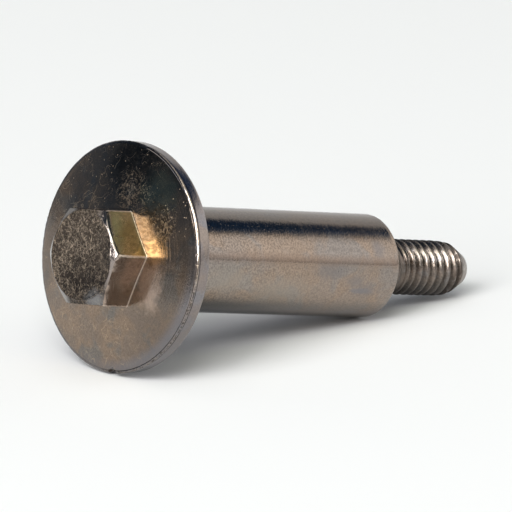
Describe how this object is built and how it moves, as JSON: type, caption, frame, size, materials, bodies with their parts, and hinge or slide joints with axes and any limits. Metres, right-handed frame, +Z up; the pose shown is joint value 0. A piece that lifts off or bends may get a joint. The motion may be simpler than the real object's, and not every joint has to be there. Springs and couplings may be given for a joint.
{
  "type": "shoulder bolt",
  "caption": "Nickel-plated steel shoulder bolt: hexagon head on a round coned flange, long plain shoulder and a shorter threaded stud with a chamfered tip.",
  "frame": {"origin": "on the table under the middle of the lying bolt's outer box", "axes": "+X runs from the head to the stud, +Z is up, and the bolt's own axis lies in the XZ plane, 10.8 degrees down towards the stud"},
  "size_m": [0.0726, 0.032, 0.0317],
  "materials": {
    "plated_steel": "dark nickel plate, glossy with fine pits and light scratches"
  },
  "bodies": {
    "root": {"shoulder_bolt": "plated_steel"}
  },
  "joints": []
}
